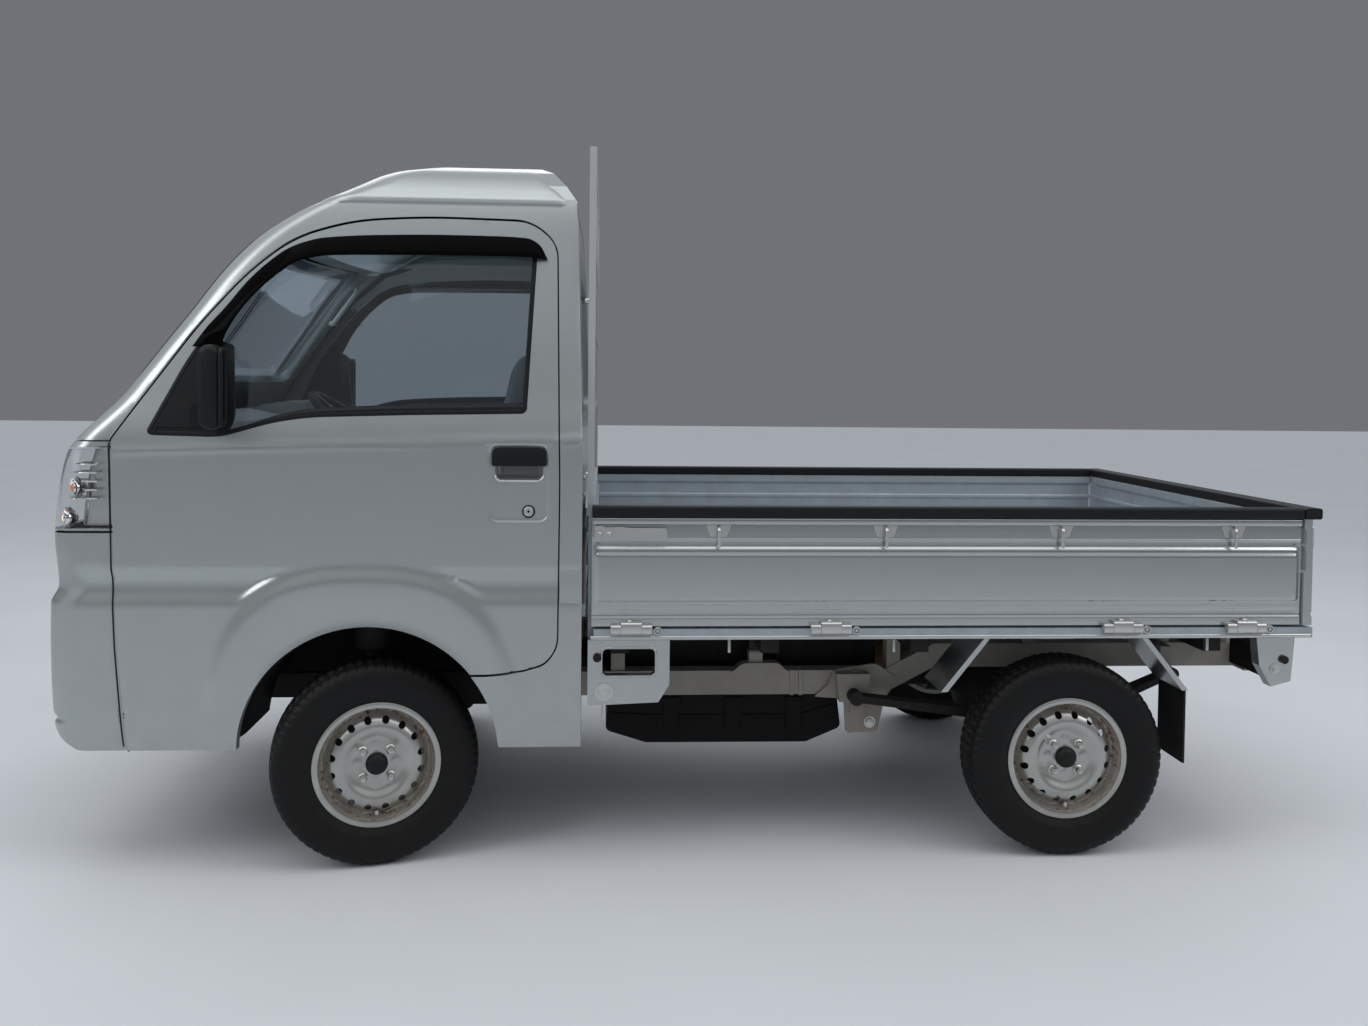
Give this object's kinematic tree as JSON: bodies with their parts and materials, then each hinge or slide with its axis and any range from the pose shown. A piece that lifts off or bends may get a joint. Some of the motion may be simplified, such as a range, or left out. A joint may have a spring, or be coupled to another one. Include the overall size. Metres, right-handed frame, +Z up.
{
  "type": "kei truck",
  "caption": "Small cab-over pickup truck with a two-door high-roof cab, drop-side bed, guard frame, steered front wheels and free-rolling wheels.",
  "frame": {"origin": "on the ground under the middle of the vehicle's length and width", "axes": "+X forward, +Y to the vehicle's left side, +Z up"},
  "size_m": [3.3949, 1.619, 1.9059],
  "materials": {
    "body_silver": "metallic silver paint",
    "bed_silver": "metallic silver paint",
    "bed_inside": "pale blue-grey paint",
    "frame_paint": "grey-beige underbody paint",
    "cast_metal": "dull cast metal with light rust",
    "rusty_steel": "rusted steel",
    "black_trim": "matt black trim",
    "smoked_visor": "smoked dark plastic",
    "rubber": "black rubber",
    "tyre": "black tyre",
    "wheel_silver": "silver wheel paint",
    "glass": "clear glass",
    "lamp_lens": "clear lamp lens",
    "red_lens": "red lamp lens",
    "interior_grey": "dark grey inner plastic",
    "seat_fabric": "grey seat cloth",
    "tank_black": "black tank"
  },
  "bodies": {
    "chassis": {"cab_shell": "body_silver", "wheelhouses": "tank_black", "front_bumper": "body_silver", "front_panel": "body_silver", "headlamp_left": "lamp_lens", "headlamp_right": "lamp_lens", "windscreen": "glass", "rear_window": "glass", "dashboard": "interior_grey", "steering_wheel": "black_trim", "seat_bases": "interior_grey", "driver_seat": "seat_fabric", "passenger_seat": "seat_fabric", "chassis_frame": "frame_paint", "engine_block": "cast_metal", "fuel_tank": "tank_black", "exhaust": "rusty_steel", "rear_axle": "cast_metal", "propeller_shaft": "cast_metal", "leaf_springs": "cast_metal", "front_suspension": "cast_metal", "bed_deck": "bed_inside", "deck_beams": "cast_metal", "headboard": "bed_inside", "guard_frame": "bed_silver", "side_brackets": "bed_silver", "wheelhouse_stays": "bed_silver", "mud_flaps": "rubber", "tail_lamps": "red_lens", "gate_stops": "rubber", "door_seals": "rubber", "wipers": "black_trim"},
    "door_left": {"door_left": "body_silver", "door_glass_left": "glass", "door_mirror_left": "black_trim", "window_visor_left": "smoked_visor"},
    "door_right": {"door_right": "body_silver", "door_glass_right": "glass", "door_mirror_right": "black_trim", "window_visor_right": "smoked_visor"},
    "side_gate_left": {"side_gate_left": "bed_silver", "side_gate_rail_left": "rubber", "side_gate_fittings_left": "bed_silver"},
    "side_gate_right": {"side_gate_right": "bed_silver", "side_gate_rail_right": "rubber", "side_gate_fittings_right": "bed_silver"},
    "tailgate": {"tailgate": "bed_silver", "tailgate_rail": "rubber"},
    "knuckle_left": {"knuckle_left": "cast_metal"},
    "knuckle_right": {"knuckle_right": "cast_metal"},
    "wheel_front_left": {"rim_front_left": "wheel_silver", "tyre_front_left": "tyre"},
    "wheel_front_right": {"rim_front_right": "wheel_silver", "tyre_front_right": "tyre"},
    "wheel_rear_left": {"rim_rear_left": "wheel_silver", "tyre_rear_left": "tyre"},
    "wheel_rear_right": {"rim_rear_right": "wheel_silver", "tyre_rear_right": "tyre"}
  },
  "joints": [
    {"name": "door_left_hinge", "type": "hinge", "parent": "chassis", "child": "door_left", "pos_m": [1.5, 0.735, 1], "axis": [0, 0, -1], "range_deg": [0, 65]},
    {"name": "side_gate_left_hinge", "type": "hinge", "parent": "chassis", "child": "side_gate_left", "pos_m": [-0.68, 0.7445, 0.636], "axis": [-1, 0, 0], "range_deg": [0, 170]},
    {"name": "door_right_hinge", "type": "hinge", "parent": "chassis", "child": "door_right", "pos_m": [1.5, -0.735, 1], "axis": [0, 0, 1], "range_deg": [0, 65]},
    {"name": "side_gate_right_hinge", "type": "hinge", "parent": "chassis", "child": "side_gate_right", "pos_m": [-0.68, -0.7445, 0.636], "axis": [1, 0, 0], "range_deg": [0, 170]},
    {"name": "tailgate_hinge", "type": "hinge", "parent": "chassis", "child": "tailgate", "pos_m": [-1.69, 0, 0.636], "axis": [0, -1, 0], "range_deg": [0, 170]},
    {"name": "steer_left", "type": "hinge", "parent": "chassis", "child": "knuckle_left", "pos_m": [0.89, 0.545, 0.271], "axis": [0, 0, 1], "range_deg": [-47, 19]},
    {"name": "steer_right", "type": "hinge", "parent": "chassis", "child": "knuckle_right", "pos_m": [0.89, -0.545, 0.271], "axis": [0, 0, 1], "range_deg": [-47, 19]},
    {"name": "wheel_front_left_spin", "type": "hinge", "parent": "knuckle_left", "child": "wheel_front_left", "pos_m": [0.86399, 0.64931, 0.271], "axis": [-0.2419, 0.9703, 0], "continuous": true},
    {"name": "wheel_rear_left_spin", "type": "hinge", "parent": "chassis", "child": "wheel_rear_left", "pos_m": [-1.01, 0.6525, 0.271], "axis": [0, 1, 0], "continuous": true},
    {"name": "wheel_front_right_spin", "type": "hinge", "parent": "knuckle_right", "child": "wheel_front_right", "pos_m": [0.91601, -0.64931, 0.271], "axis": [-0.2419, 0.9703, 0], "continuous": true},
    {"name": "wheel_rear_right_spin", "type": "hinge", "parent": "chassis", "child": "wheel_rear_right", "pos_m": [-1.01, -0.6525, 0.271], "axis": [0, 1, 0], "continuous": true}
  ],
  "couplings": [
    {"joint": "steer_right", "follows": "steer_left", "ratio": 1}
  ]
}
